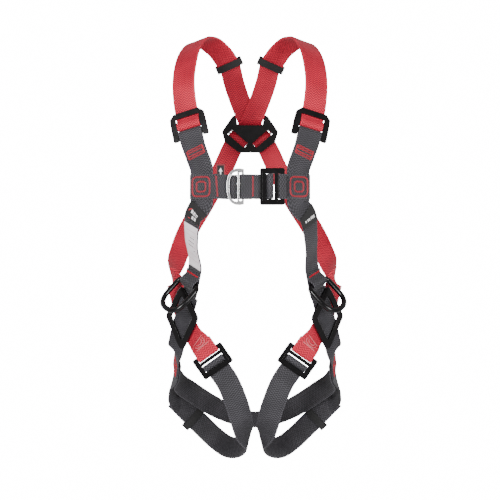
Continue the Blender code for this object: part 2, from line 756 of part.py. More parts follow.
def labels(front_paths):
    tag_on_strap("maker_tag", front_paths["right"], 0.053, 0.081, WIDTH, 0.0010, black_elastic())
    tag_on_strap("inspection_label", front_paths["right"], -0.036, 0.049, 0.042, 0.0008, label_cloth())
    tag_on_strap("size_tag", front_paths["left"], 0.044, 0.070, WIDTH, 0.0010, black_elastic())
    frame = Matrix.Translation((-0.054, CHEST_RING[1] + 0.0116, 0.145)) @ Matrix.Rotation(math.pi / 2, 4, "X")
    outline = box_outline(-0.0082, -0.014, 0.0082, 0.013, 0.001, 2)
    flat_plate("attachment_tag", [outline], 0.0012, 0.0002, frame, black_elastic())


def main():
    clear_scene()
    dorsal_plate()
    dorsal_ring()
    sternal_ring()
    front_paths = {}
    for side_name, side in SIDES.items():
        shoulder_adjuster(side_name, side)
        buckle(f"leg_buckle_{side_name}", leg_buckle_frame(side))
        hip_plate(side_name, side)
        red = main_strap(side_name, side)
        target = Vector((side * 0.045, 0.086, 0.3985))
        keeper(f"shoulder_keeper_{side_name}", frame_on_path(red, target, Vector((0, 1, 0.5))))
        front_paths[side_name] = front_strap(side_name, side)
        grey = leg_strap(side_name, side)
        target = place(side * 0.1300, 0.105, -0.364)
        keeper(f"leg_keeper_{side_name}", frame_on_path(grey, target, Vector((0, 1, 0))))
        side_ring(side_name, side)
    buckle("chest_buckle", chest_buckle_frame())
    chest_straps()
    seat_strap()
    labels(front_paths)


main()
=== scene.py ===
"""Looks of the full-body safety harness: fine webbing, stitching, tags and hardware around the CAD frame.

Metres, +Z up. The wearer faces -Y, and the wearer's left side lies at +X.
"""

import json
import math

import bmesh
import bpy
from mathutils import Matrix, Vector

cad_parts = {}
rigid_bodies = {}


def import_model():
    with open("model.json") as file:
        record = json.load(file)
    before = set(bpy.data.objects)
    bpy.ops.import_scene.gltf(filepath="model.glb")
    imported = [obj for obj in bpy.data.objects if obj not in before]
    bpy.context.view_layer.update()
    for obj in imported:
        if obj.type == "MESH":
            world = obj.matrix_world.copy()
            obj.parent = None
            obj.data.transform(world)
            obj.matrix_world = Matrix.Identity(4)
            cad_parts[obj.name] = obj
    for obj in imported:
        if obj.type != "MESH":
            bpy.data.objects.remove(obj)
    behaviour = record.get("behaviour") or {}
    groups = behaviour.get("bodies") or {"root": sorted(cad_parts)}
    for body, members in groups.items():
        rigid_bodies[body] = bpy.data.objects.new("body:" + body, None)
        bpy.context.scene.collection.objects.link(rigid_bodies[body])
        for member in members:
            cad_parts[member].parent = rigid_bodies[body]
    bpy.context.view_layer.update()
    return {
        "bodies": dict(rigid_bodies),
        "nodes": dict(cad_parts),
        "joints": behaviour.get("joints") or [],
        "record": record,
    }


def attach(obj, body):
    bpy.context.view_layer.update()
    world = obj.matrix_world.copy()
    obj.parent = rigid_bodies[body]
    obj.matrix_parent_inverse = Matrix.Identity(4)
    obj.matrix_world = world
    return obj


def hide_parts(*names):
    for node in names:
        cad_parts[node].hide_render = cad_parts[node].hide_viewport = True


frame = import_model()

# ---- driving dimensions, in metres ----
WIDTH = 0.045          # webbing width
THICK = 0.002          # webbing thickness
GAP = 0.0004           # free gap between touching layers
LAYER = THICK + GAP    # pitch of two stacked layers of webbing
LEAN = 0.010           # how far the hips hang towards the wearer's left

PLATE_T = 0.004        # shoulder adjusters and hip frames
PLATE_EDGE = 0.0008    # rounding of the edges of a pressed steel plate
MOULDED_EDGE = 0.001   # rounding of the edges of a moulded plate
HIP_DEPTH = PLATE_T / 2 + THICK / 2 + 0.0012    # how far behind a hip frame its strap lies

FORWARD = Vector((0, -1, 0))
BACKWARD = Vector((0, 1, 0))
UP = Vector((0, 0, 1))
SIDES = {"right": -1, "left": 1}
OTHER = {"left": "right", "right": "left"}

# Centres of the fittings, for the left side; the right side mirrors x.
ADJUSTER = (0.1145, -0.093, 0.2328)
JUNCTION = (0.0886, -0.115, 0.116)
HIP = (0.1445, -0.0220, -0.134)
SIDE_RING = (0.1195, -0.042, -0.0640)
LEG_BUCKLE = (0.0825, -0.045, -0.2160)
CHEST_BUCKLE = (0.0405, -0.130, 0.115)
CHEST_RING = (-0.0128, -0.1273, 0.115)
DORSAL = (0.0, 0.125, 0.257)

JUNCTION_YAW = 18.0
SIDE_RING_YAW = 50.0
HIP_YAW = 38.0

DORSAL_T = 0.005
DORSAL_BODY = -(DORSAL_T / 2 + GAP + THICK / 2)
DORSAL_BAR_R = 0.003
DORSAL_BAR_V = 0.010
DORSAL_BAR_N = DORSAL_T / 2 + GAP + DORSAL_BAR_R
CROSS_LAYER = 0.0040   # pitch of the two crossing straps at the dorsal plate

FINE = 0.004           # spacing of the samples along a strap
COLUMNS = 14           # faces across a strap
EDGE_R = 0.0009        # rounding of a strap's edges
ROOT = "harness"       # the body that everything rides on unless the record says otherwise


# ---- materials ----
class Nodes:
    """Short calls for building one node material."""

    def __init__(self, name):
        self.mat = bpy.data.materials.new(name)
        self.mat.use_nodes = True
        self.tree = self.mat.node_tree
        self.shader = self.tree.nodes["Principled BSDF"]

    def add(self, kind, **settings):
        node = self.tree.nodes.new(kind)
        for key, value in settings.items():
            setattr(node, key, value)
        return node

    def put(self, value, socket):
        if isinstance(value, (int, float, tuple)):
            socket.default_value = value
        else:
            self.tree.links.new(value, socket)

    def math(self, operation, a, b=0.0, c=0.0):
        node = self.add("ShaderNodeMath", operation=operation)
        for value, socket in zip((a, b, c), node.inputs):
            self.put(value, socket)
        return node.outputs[0]

    def noise(self, scale, detail=3.0, vector=None):
        node = self.add("ShaderNodeTexNoise")
        node.inputs["Scale"].default_value = scale
        node.inputs["Detail"].default_value = detail
        if vector is None:
            vector = self.add("ShaderNodeTexCoord").outputs["Object"]
        self.put(vector, node.inputs["Vector"])
        return node.outputs["Fac"]

    def ramp(self, factor, stops):
        node = self.add("ShaderNodeValToRGB")
        for index, (position, colour) in enumerate(stops):
            while len(node.color_ramp.elements) <= index:
                node.color_ramp.elements.new(position)
            element = node.color_ramp.elements[index]
            element.position = position
            element.color = (*colour, 1.0)
        self.put(factor, node.inputs[0])
        return node.outputs["Color"]

    def bump(self, height, distance, strength=1.0):
        node = self.add("ShaderNodeBump")
        node.inputs["Distance"].default_value = distance
        node.inputs["Strength"].default_value = strength
        self.put(height, node.inputs["Height"])
        self.put(node.outputs["Normal"], self.shader.inputs["Normal"])

    def shade(self, socket, value):
        self.put(value, self.shader.inputs[socket])

    def uniform(self, **values):
        for key, value in values.items():
            self.shader.inputs[key.replace("_", " ")].default_value = value


def webbing_material(name, dark, base, light, pitch, chevron):
    """Woven webbing. The UV map is in metres: across the strap, then along it."""
    n = Nodes(name)
    coords = n.add("ShaderNodeSeparateXYZ")
    n.put(n.add("ShaderNodeUVMap").outputs["UV"], coords.inputs[0])
    across = coords.outputs["X"]
    along = coords.outputs["Y"]
    zigzag = n.math("PINGPONG", across, chevron)
    slant = n.math("ADD", along, zigzag)
    ribs = n.math("SINE", n.math("MULTIPLY", slant, 2 * math.pi / pitch))
    threads = n.math("SINE", n.math("MULTIPLY", across, 2 * math.pi / (pitch * 0.62)))
    weave = n.math("ADD", n.math("MULTIPLY", ribs, 0.42), n.math("MULTIPLY_ADD", threads, 0.16, 0.5))
    grain = n.noise(900.0, 2.0)
    broad = n.noise(26.0, 4.0)
    tone = n.math("ADD", n.math("MULTIPLY", weave, 0.62), n.math("MULTIPLY", grain, 0.30))
    tone = n.math("ADD", tone, n.math("MULTIPLY", n.math("SUBTRACT", broad, 0.5), 0.30))
    edge = n.math("GREATER_THAN", n.math("ABSOLUTE", across), WIDTH / 2 - 0.0022)
    tone = n.math("ADD", tone, n.math("MULTIPLY", edge, 0.13))
    colour = n.ramp(tone, [(0.12, dark), (0.50, base), (0.95, light)])
    n.shade("Base Color", colour)
    n.shade("Roughness", n.math("MULTIPLY_ADD", grain, 0.25, 0.58))
    n.bump(n.math("ADD", weave, n.math("MULTIPLY", grain, 0.35)), 0.00028)
    n.uniform(Sheen_Weight=0.08, Sheen_Roughness=0.4, Specular_IOR_Level=0.35)
    return n.mat


def elastic_material(name, dark, light):
    n = Nodes(name)
    coords = n.add("ShaderNodeTexCoord").outputs["Object"]
    fine = n.noise(1400.0, 2.0, coords)
    n.shade("Base Color", n.ramp(fine, [(0.3, dark), (0.75, light)]))
    n.bump(fine, 0.0003)
    n.uniform(Roughness=0.8)
    return n.mat


def coated_material(name, dark, light, roughness):
    """Glossy black coating with faint orange peel and rubbed spots."""
    n = Nodes(name)
    spots = n.noise(60.0, 6.0)
    n.shade("Base Color", n.ramp(spots, [(0.40, dark), (0.85, light)]))
    n.shade("Roughness", n.math("MULTIPLY_ADD", spots, 0.10, roughness - 0.08))
    n.bump(n.noise(160.0, 2.0), 0.00006, 0.25)
    n.uniform(Specular_IOR_Level=0.28)
    return n.mat


def steel_material(name):
    n = Nodes(name)
    streaks = n.noise(220.0, 5.0)
    n.shade("Base Color", n.ramp(streaks, [(0.3, (0.78, 0.77, 0.78)), (0.75, (0.97, 0.96, 0.97))]))
    n.shade("Roughness", n.math("MULTIPLY_ADD", streaks, 0.12, 0.10))
    n.bump(n.noise(900.0, 2.0), 0.00002)
    n.uniform(Metallic=1.0)
    return n.mat


def label_material(name, base, shade):
    n = Nodes(name)
    fibres = n.noise(1100.0, 3.0)
    broad = n.noise(45.0, 3.0)
    tone = n.math("ADD", n.math("MULTIPLY", fibres, 0.4), n.math("MULTIPLY", broad, 0.6))
    n.shade("Base Color", n.ramp(tone, [(0.30, shade), (0.62, base)]))
    n.bump(fibres, 0.00012)
    n.uniform(Roughness=0.62)
    return n.mat


MATERIALS = {
    "red_webbing": webbing_material(
        "red_webbing_look", (0.07, 0.0, 0.004), (0.44, 0.0, 0.020), (0.86, 0.040, 0.080), 0.0048, 0.0056),
    "grey_webbing": webbing_material(
        "grey_webbing_look", (0.0006, 0.0004, 0.0008), (0.0125, 0.0110, 0.0145), (0.105, 0.100, 0.115),
        0.0046, 0.0040),
    "black_elastic": elastic_material(
        "black_elastic_look", (0.0012, 0.0010, 0.0012), (0.0090, 0.0080, 0.0090)),
    "label_cloth": label_material("label_cloth_look", (0.93, 0.86, 0.89), (0.74, 0.66, 0.69)),
    "black_coated_steel": coated_material(
        "black_coating_look", (0.0008, 0.0006, 0.0008), (0.004, 0.003, 0.004), 0.20),
    "black_plastic": coated_material(
        "black_plastic_look", (0.0012, 0.0009, 0.0010), (0.006, 0.004, 0.005), 0.28),
    "bright_steel": steel_material("bright_steel_look"),
}
PRINT_WHITE = label_material("print_white", (0.95, 0.94, 0.93), (0.82, 0.81, 0.80))
PRINT_RED = label_material("print_red", (0.55, 0.03, 0.05), (0.38, 0.02, 0.03))
PRINT_PINK = label_material("print_pink", (0.62, 0.38, 0.42), (0.52, 0.30, 0.34))
PRINT_DARK = label_material("print_dark", (0.10, 0.09, 0.10), (0.05, 0.05, 0.05))
THREAD_RED = label_material("thread_red", (0.80, 0.006, 0.035), (0.48, 0.002, 0.018))
THREAD_PALE = label_material("thread_pale", (0.72, 0.24, 0.25), (0.50, 0.10, 0.12))


BODY_OF = {node: body for body, nodes in frame["record"]["behaviour"]["bodies"].items() for node in nodes}


def link(obj):
    bpy.context.scene.collection.objects.link(obj)


def add_piece(obj, node, mat):
    """A finished piece that moves with the CAD node it belongs to."""
    obj.data.materials.append(mat)
    link(obj)
    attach(obj, BODY_OF.get(node, ROOT))


def show(obj, node, slot):
    """The finished piece stands for the CAD node of that name."""
    add_piece(obj, node, MATERIALS[slot])
    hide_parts(node)


# ---- geometry of the straps and fittings, as in the CAD ----
def smoothstep(value):
    value = min(max(value, 0.0), 1.0)
    return value * value * (3 - 2 * value)


def place(x, y, z):
    """A point of the worn shape: the harness hangs a little to the wearer's left below the chest."""
    return Vector((x + LEAN * smoothstep((0.12 - z) / 0.30), y, z))


def worn_run(side, rows):
    """Stations from (x, y, z, facing x, y, z) rows for the left side; the right side mirrors x."""
    return [station(place(side * x, y, z), (side * a, b, c)) for x, y, z, a, b, c in rows]


def yawed(side, degrees):
    """Outward direction that turns from straight ahead (-Y) towards the given side."""
    angle = math.radians(degrees)
    return Vector((side * math.sin(angle), -math.cos(angle), 0))


def axes_at(origin, x_axis, y_axis, z_axis):
    return Matrix.Translation(origin) @ Matrix((x_axis, y_axis, z_axis)).transposed().to_4x4()


def fitting(centre, along, outward):
    """Frame of a fitting: X across the webbing, Y along it, Z outward from the body."""
    z_axis = outward.normalized()
    y_axis = (along - z_axis * along.dot(z_axis)).normalized()
    return axes_at(centre, y_axis.cross(z_axis), y_axis, z_axis)


def adjuster_frame(side):
    x, y, z = ADJUSTER
    along = Vector((-side * 0.22, -0.14, -0.96))
    return fitting(place(side * x, y, z), along, Vector((side * 0.25, -0.96, 0.10)))


def junction_frame(side):
    x, y, z = JUNCTION
    return fitting(place(side * x, y, z), Vector((0, 0, -1)), yawed(side, JUNCTION_YAW))


def hip_frame(side):
    """X across the body's flank, Y up, Z outward."""
    x, y, z = HIP
    outward = yawed(side, HIP_YAW)
    return axes_at(place(side * x, y, z), UP.cross(outward), UP, outward)


def side_ring_frame(side):
    x, y, z = SIDE_RING
    return fitting(place(side * x, y, z), Vector((side * 0.04, 0.37, -0.93)), yawed(side, SIDE_RING_YAW))


def leg_buckle_frame(side):
    x, y, z = LEG_BUCKLE
    return fitting(place(side * x, y, z), Vector((-side * 0.575, 0.0, -0.82)), FORWARD)


def chest_buckle_frame():
    return fitting(Vector(CHEST_BUCKLE), Vector((-1, 0, 0)), FORWARD)


# ---- webbing ----
def station(point, normal):
    return Vector(point), Vector(normal).normalized()


def local_stations(frame, profile, across=0.0):
    """Stations from (along, outward) pairs in a fitting's frame, facing away from the inner side.

    Each profile entry is (along, outward, facing angle in degrees): 0 faces outward and
    90 faces further along the webbing.
    """
    stations = []
    for along, outward, facing in profile:
        angle = math.radians(facing)
        normal = Vector((0, math.sin(angle), math.cos(angle)))
        stations.append((frame @ Vector((across, along, outward)), frame.to_3x3() @ normal))
    return stations


def straight(frame, start, end, level=0.0):
    """A run that stays flat in a fitting's frame: doubled stations keep its ends from bulging."""
    step = 0.003 if end > start else -0.003
    profile = [(v, level, 0) for v in (start, start + step, end - step, end)]
    return local_stations(frame, profile)


def smooth_path(stations, spacing):
    """A smooth curve through the stations, with its facing turned evenly in between."""
    points = [s[0] for s in stations]
    normals = [s[1] for s in stations]
    lengths = [max((b - a).length, 1e-6) for a, b in zip(points, points[1:])]
    slopes = []
    for i in range(len(points)):
        if i == 0:
            slopes.append((points[1] - points[0]) / lengths[0])
        elif i == len(points) - 1:
            slopes.append((points[-1] - points[-2]) / lengths[-1])
        else:
            before = (points[i] - points[i - 1]) / lengths[i - 1]
            after = (points[i + 1] - points[i]) / lengths[i]
            total = lengths[i - 1] + lengths[i]
            slopes.append((before * lengths[i] + after * lengths[i - 1]) / total)
    path = []
    for i, length in enumerate(lengths):
        steps = max(2, round(length / spacing))
        for k in range(steps):
            t = k / steps
            a = 2 * t**3 - 3 * t**2 + 1
            b = t**3 - 2 * t**2 + t
            c = -2 * t**3 + 3 * t**2
            d = t**3 - t**2
            point = points[i] * a + slopes[i] * (b * length)
            point += points[i + 1] * c + slopes[i + 1] * (d * length)
            path.append((point, normals[i].lerp(normals[i + 1], smoothstep(t)).normalized()))
    path.append((points[-1], normals[-1]))
    return path


def strap_profile(width, thick):
    """Closed cross-section of webbing as (across, level) points, with rounded edges."""
    radius = min(EDGE_R, thick * 0.45)
    half_w = width / 2
    half_t = thick / 2
    top = [(-half_w + radius + (width - 2 * radius) * k / COLUMNS, half_t) for k in range(COLUMNS + 1)]
    edge = []
    for k in range(1, 4):
        angle = math.pi / 2 - math.pi * k / 4
        edge.append((half_w - radius + radius * math.cos(angle), half_t * math.sin(angle)))
    upper = top + edge
    lower = [(-u, -level) for u, level in upper]
    return upper + lower


def strap_rows(path):
    """(point, across, facing, length so far) for each sample of a path."""
    rows = []
    run = 0.0
    for i, (point, normal) in enumerate(path):
        ahead = (path[min(i + 1, len(path) - 1)][0] - path[max(i - 1, 0)][0]).normalized()
        facing = (normal - ahead * normal.dot(ahead)).normalized()
        if i:
            run += (point - path[i - 1][0]).length
        rows.append((point, ahead.cross(facing), facing, run))
    return rows


def sweep(name, rows, profile, lift=None, level=0.0):
    """A closed band swept along rows, with UVs in metres."""
    vertices = []
    for point, across, facing, _ in rows:
        for u, h in profile:
            flat = point + across * u
            if lift:
                flat += lift(point, flat)
            vertices.append(flat + facing * (level + h))
    count = len(profile)
    faces = []
    for i in range(len(rows) - 1):
        a = i * count
        b = a + count
        for k in range(count):
            n = (k + 1) % count
            faces.append((a + k, a + n, b + n, b + k))
    faces.append(tuple(range(count - 1, -1, -1)))
    end = (len(rows) - 1) * count
    faces.append(tuple(end + k for k in range(count)))
    mesh = bpy.data.meshes.new(name)
    mesh.from_pydata([tuple(v) for v in vertices], [], faces)
    layer = mesh.uv_layers.new(name="UVMap")
    for loop in mesh.loops:
        row, k = divmod(loop.vertex_index, count)
        layer.data[loop.index].uv = (profile[k][0], rows[row][3])
    mesh.polygons.foreach_set("use_smooth", [len(p.vertices) == 4 for p in mesh.polygons])
    return bpy.data.objects.new("vis_" + name, mesh)


def ribbon(name, path, slot, width=WIDTH, thick=THICK, lift=None, level=0.0, span=None):
    rows = strap_rows(path)
    if span:
        rows = rows[span[0]:span[1] + 1]
    show(sweep(name, rows, strap_profile(width, thick), lift, level), name, slot)


def rounded(corners, radius, steps=4):
    """A closed outline whose corners are arcs of the given radius."""
    outline = []
    count = len(corners)
    for i, corner in enumerate(corners):
        here = Vector(corner)
        back = Vector(corners[i - 1]) - here
        ahead = Vector(corners[(i + 1) % count]) - here
        half = back.angle(ahead) / 2
        reach = min(radius / math.tan(half), 0.49 * back.length, 0.49 * ahead.length)
        start = here + back.normalized() * reach
        end = here + ahead.normalized() * reach
        for k in range(steps + 1):
            t = k / steps
            outline.append(start * (1 - t) ** 2 + here * (2 * t * (1 - t)) + end * t**2)
    return outline


def box_outline(x0, y0, x1, y1, radius, steps=3):
    return rounded([(x0, y0), (x1, y0), (x1, y1), (x0, y1)], radius, steps)


def poly_curve(name, dimensions, lines, cyclic):
    """A curve datablock with one polyline for each list of points, which may be flat or in space."""
    curve = bpy.data.curves.new(name, "CURVE")
    curve.dimensions = dimensions
    for line in lines:
        spline = curve.splines.new("POLY")
        spline.points.add(len(line) - 1)
        for point, corner in zip(spline.points, line):
            point.co = (*Vector(corner).to_3d(), 1)
        spline.use_cyclic_u = cyclic
    return curve


def mesh_of(curve):
    guide = bpy.data.objects.new("guide", curve)
    link(guide)
    bpy.context.view_layer.update()
    mesh = bpy.data.meshes.new_from_object(guide)
    bpy.data.objects.remove(guide)
    return mesh


def flat_plate(name, outlines, thick, edge, frame, slot, level=0.0):
    """A flat plate with windows: the first outline is its rim and the others are openings."""
    curve = poly_curve(name, "2D", outlines, True)
    curve.fill_mode = "BOTH"
    curve.extrude = thick / 2
    mesh = mesh_of(curve)
    weld(mesh)
    obj = bpy.data.objects.new("vis_" + name, mesh)
    obj.matrix_world = frame @ Matrix.Translation((0, 0, level))
    bevel = obj.modifiers.new("edges", "BEVEL")
    bevel.width = edge
    bevel.segments = 3
    bevel.limit_method = "ANGLE"
    bevel.angle_limit = math.radians(50)
    bevel.harden_normals = True
    show(obj, name, slot)


def weld(mesh):
    """Joins the caps of a filled curve to its walls and shades it smooth."""
    shape = bmesh.new()
    shape.from_mesh(mesh)
    bmesh.ops.remove_doubles(shape, verts=shape.verts, dist=1e-6)
    bmesh.ops.dissolve_degenerate(shape, edges=shape.edges, dist=1e-6)
    bmesh.ops.recalc_face_normals(shape, faces=shape.faces)
    for face in shape.faces:
        face.smooth = True
    shape.to_mesh(mesh)
    shape.free()


def round_ring(name, outline, radius, frame, slot):
    """A ring bent from round bar along a closed outline in the frame's XY plane."""
    curve = poly_curve(name, "3D", [outline], True)
    curve.bevel_depth = radius
    curve.bevel_resolution = 8
    obj = bpy.data.objects.new("vis_" + name, curve)
    obj.matrix_world = frame
    show(obj, name, slot)


def d_outline(half_base, reach, corner, half_end, end_radius):
    """Outline of a D-shaped ring: its straight bar lies on X, its bow reaches along -Y."""
    corners = [(-half_base, 0), (half_base, 0), (half_end, -reach), (-half_end, -reach)]
    outline = []
    for i, radius in enumerate((corner, corner, end_radius, end_radius)):
        part = rounded(corners, radius, 7)
        outline += part[i * 8:(i + 1) * 8]
    return outline


# Shoulder adjuster: a three-bar slider, Y runs down the webbing.
ADJUSTER_HALF = (0.0350, 0.025)
ADJUSTER_SLOT = 0.0234
ADJUSTER_WRAP = [
    (-0.0300, -0.0034, 0),
    (-0.0270, -0.0034, 0),
    (-0.0185, -0.0034, 0),
    (-0.0125, -0.0012, -40),
    (-0.0070, 0.0028, -35),
    (-0.0045, 0.0036, -5),
    (0.0012, 0.0036, 10),
    (0.0040, 0.0018, 65),
    (0.0050, -0.0010, 95),
    (0.0036, -0.0045, 140),
    (0.0000, -0.0060, 180),
    (-0.0270, -0.0060, 180),
    (-0.0300, -0.0060, 180),
]


def shoulder_adjuster(side_name, side):
    half_x, half_y = ADJUSTER_HALF
    slot = ADJUSTER_SLOT
    rim = rounded(
        [(-half_x + 0.0100, -0.0285), (half_x - 0.0100, -0.0285), (half_x - 0.0010, -0.0200),
         (half_x, -0.004), (half_x, half_y),
         (0.0240, half_y), (0.0240, 0.0175), (-0.0240, 0.0175), (-0.0240, half_y),
         (-half_x, half_y), (-half_x, -0.004), (-half_x + 0.0010, -0.0200)],
        0.0024, 3)
    openings = [box_outline(-slot, -0.018, slot, -0.005, 0.0015, 2),
                box_outline(-slot, 0.002, slot, 0.0105, 0.0015, 2)]
    flat_plate(f"shoulder_adjuster_{side_name}", [rim] + openings, PLATE_T, PLATE_EDGE,
               adjuster_frame(side), "black_coated_steel")


# Pass-through buckle: Y runs from the sewn loop to the adjusting side.
BUCKLE_HALF = (0.0335, 0.0225)
BUCKLE_T = 0.0035
BUCKLE_WINDOW = (0.0234, -0.0145, 0.017)
BUCKLE_LOOP = BUCKLE_T / 2 + GAP + THICK / 2
INSERT_T = 0.003
INSERT_LEVEL = BUCKLE_T / 2 + 0.0004 + INSERT_T / 2
INSERT_WRAP = [
    (0.0230, -0.00325, 0),
    (0.0165, -0.00315, 0),
    (0.0122, -0.0008, 50),
    (0.0093, 0.0036, 70),
    (0.0075, 0.0060, 40),
    (0.0040, 0.0067, 0),
    (0.0005, 0.0060, -40),
    (-0.0012, 0.0034, -85),
    (0.0002, -0.0009, -125),
    (0.0045, -0.0042, -150),
    (0.0110, -0.0057, -175),
    (0.0230, -0.00575, -180),
]
LOOP_WRAP = [
    (-0.0240, BUCKLE_LOOP, 0),
    (-0.0205, BUCKLE_LOOP, 0),
    (-0.0150, BUCKLE_LOOP, 0),
    (-0.0122, 0.0020, 60),
    (-0.0116, 0.0, 90),
    (-0.0122, -0.0020, 120),
    (-0.0150, -BUCKLE_LOOP, 180),
    (-0.0205, -BUCKLE_LOOP, 180),
    (-0.0240, -BUCKLE_LOOP, 180),
]


def buckle(prefix, frame):
    half_x, half_y = BUCKLE_HALF
    window_x, window_low, window_high = BUCKLE_WINDOW
    rim = box_outline(-half_x, -half_y, half_x, half_y, 0.004, 3)
    window = box_outline(-window_x, window_low, window_x, window_high, 0.0015, 2)
    flat_plate(f"{prefix}_frame", [rim, window], BUCKLE_T, PLATE_EDGE, frame, "black_coated_steel")
    insert = box_outline(-0.028, -0.0105, 0.028, 0.0185, 0.003, 3)
    slots = [box_outline(-0.0234, -0.0036, 0.0234, 0.0015, 0.0010, 2),
             box_outline(-0.0234, 0.0065, 0.0234, 0.0115, 0.0010, 2)]
    flat_plate(f"{prefix}_insert", [insert] + slots, INSERT_T, 0.0007, frame,
               "black_coated_steel", level=INSERT_LEVEL)


def hip_plate(side_name, side):
    """A tall rhombic ring that holds the crossing of the front strap and the back strap."""
    rim = rounded([(0, 0.068), (0.0445, 0.001), (0, -0.070), (-0.0445, 0.001)], 0.012, 6)
    opening = rounded([(0, 0.047), (0.0290, 0.001), (0, -0.047), (-0.0290, 0.001)], 0.005, 4)
    flat_plate(f"hip_frame_{side_name}", [rim, opening], PLATE_T, MOULDED_EDGE,
               hip_frame(side), "black_plastic")


# Dorsal plate: X across, Y up, Z outward (to the back).
DORSAL_SLOT = (0.0272, 0.0308, 0.019, 0.0335)
DIAGONAL_CENTRE = (0.027, -0.0105)
DIAGONAL_ANGLE = 41.0
DIAGONAL_HALF = (0.0240, 0.007)


def dorsal_frame():
    return axes_at(DORSAL, (-1, 0, 0), UP, BACKWARD)


def diagonal_slot(side):
    centre = Vector((side * DIAGONAL_CENTRE[0], DIAGONAL_CENTRE[1]))
    turn = Matrix.Rotation(math.radians(side * DIAGONAL_ANGLE), 2)
    half_x, half_y = DIAGONAL_HALF
    outline = box_outline(-half_x, -half_y, half_x, half_y, 0.002, 2)
    return [centre + turn @ point for point in outline]


def dorsal_plate():
    half = [(0.038, 0.041), (0.0625, 0.005), (0.056, -0.017), (0.024, -0.041)]
    corners = half + [(-x, y) for x, y in reversed(half)]
    low_x, high_x, low, high = DORSAL_SLOT
    slot = [(-low_x, low), (low_x, low), (high_x, high), (-high_x, high)]
    outlines = [rounded(corners, 0.009, 4), rounded(slot, 0.002, 2),
                diagonal_slot(-1), diagonal_slot(1)]
    flat_plate("dorsal_plate", outlines, DORSAL_T, MOULDED_EDGE, dorsal_frame(), "black_plastic")


def dorsal_level(v, outer):
    """How far out from the plate's middle a crossing strap lies at height v on the plate."""
    body = DORSAL_BODY - CROSS_LAYER
    over_bar = DORSAL_BAR_N + DORSAL_BAR_R + GAP + THICK / 2 + 0.0005
    behind = DORSAL_T / 2 + GAP + THICK / 2 + 0.0002
    if v > DORSAL_BAR_V + 0.0030:
        level = over_bar + (body - over_bar) * smoothstep((v - DORSAL_BAR_V - 0.0030) / 0.0200)
    else:
        level = behind + (over_bar - behind) * smoothstep((v - DORSAL_BAR_V + 0.0125) / 0.0095)
    return level + (CROSS_LAYER * smoothstep((v + 0.045) / 0.025) if outer else 0.0)


def strap_over_back(outer):
    """Follows the dorsal plate's slots and the ring's bar where the two back straps cross."""
    def lift(centre, point):
        v = point.z - DORSAL[2]
        if point.y < 0.05 or abs(v) > 0.075:
            return Vector((0, 0, 0))
        base = DORSAL[1] + dorsal_level(v, outer)
        return Vector((0, base - centre.y, 0)) * (1 - smoothstep((abs(v) - 0.050) / 0.025))
    return lift


def main_strap(side_name, side):
    """Red webbing from the shoulder adjuster over the shoulder and the dorsal plate to the other leg."""
    outer = side < 0
    other = -side
    wrap = local_stations(adjuster_frame(side), ADJUSTER_WRAP)
    body = DORSAL[1] + DORSAL_BODY - (0.0 if outer else CROSS_LAYER)
    shoulder = worn_run(side, [
        (0.1262, -0.0800, 0.315, 0.30, -0.93, 0.18),
        (0.1250, -0.0620, 0.352, 0.26, -0.77, 0.58),
        (0.1172, -0.0290, 0.397, 0.26, -0.46, 0.84),
        (0.0995, 0.0140, 0.4285, 0.20, -0.02, 0.98),
        (0.0720, 0.0520, 0.4250, 0.14, 0.55, 0.82),
        (0.0435, 0.0880, 0.3955, 0.04, 0.86, 0.50),
        (0.0360, 0.1020, 0.3680, 0, 0.96, 0.28),
    ])
    back = [
        station((side * 0.0200, body, 0.3240), (0, 1, 0)),
        station((side * 0.0080, body, 0.2950), (0, 1, 0)),
        station((-side * 0.0040, 0.127, 0.2720), (0, 1, 0)),
        station((-side * 0.0270, 0.129, 0.2465), (0, 1, 0)),
        station((-side * 0.0400, 0.129, 0.2250), (0, 1, 0)),
        station((-side * 0.0560, 0.129, 0.1900), (0, 1, 0)),
    ]
    flank = worn_run(other, [
        (0.0980, 0.124, 0.1100, 0.10, 0.99, 0),
        (0.1380, 0.106, 0.0400, 0.24, 0.97, 0),
        (0.1590, 0.066, -0.0180, 0.48, 0.88, 0),
        (0.1660, 0.018, -0.0560, 0.92, 0.30, 0),
    ])
    over_hip = hip_stations(other, [(-0.0270, 0.070), (-0.0258, 0.067), (-0.0080, 0.018), (0.0060, -0.010),
                                    (0.0240, -0.0322), (0.0255, -0.0340)], -HIP_DEPTH - LAYER)
    buckle_frame = leg_buckle_frame(other)
    approach = local_stations(buckle_frame, [(-0.0310, BUCKLE_LOOP + 0.0003, 0)])
    loop = local_stations(buckle_frame, LOOP_WRAP + [(-0.044, -BUCKLE_LOOP - 0.0003, 180)])
    tail = under(shoulder[:-1])
    stations = tail[::-1] + wrap[::-1] + shoulder + back + flank + over_hip + approach + loop
    path = smooth_path(stations, FINE)
    ribbon(f"main_strap_{side_name}", path, "red_webbing", lift=strap_over_back(outer))
    return path


def under(stations):
    """The same run one layer further in, facing the body."""
    return [(point - normal * LAYER, -normal) for point, normal in stations]


def hip_stations(side, crossing, level):
    frame = hip_frame(side)
    outward = frame.to_3x3() @ UP
    return [(frame @ Vector((-side * a, b, level)), outward) for a, b in crossing]


# Sewn loop round the lower bar of the shoulder adjuster.
FRONT_LOOP = [
    (0.0470, -0.0036, 180),
    (0.0200, -0.0034, 180),
    (0.0112, -0.0034, 180),
    (0.0085, -0.0020, 240),
    (0.0079, 0.0, 270),
    (0.0085, 0.0020, 300),
    (0.0112, 0.0034, 360),
    (0.0200, 0.0034, 360),
    (0.0230, 0.0034, 360),
]


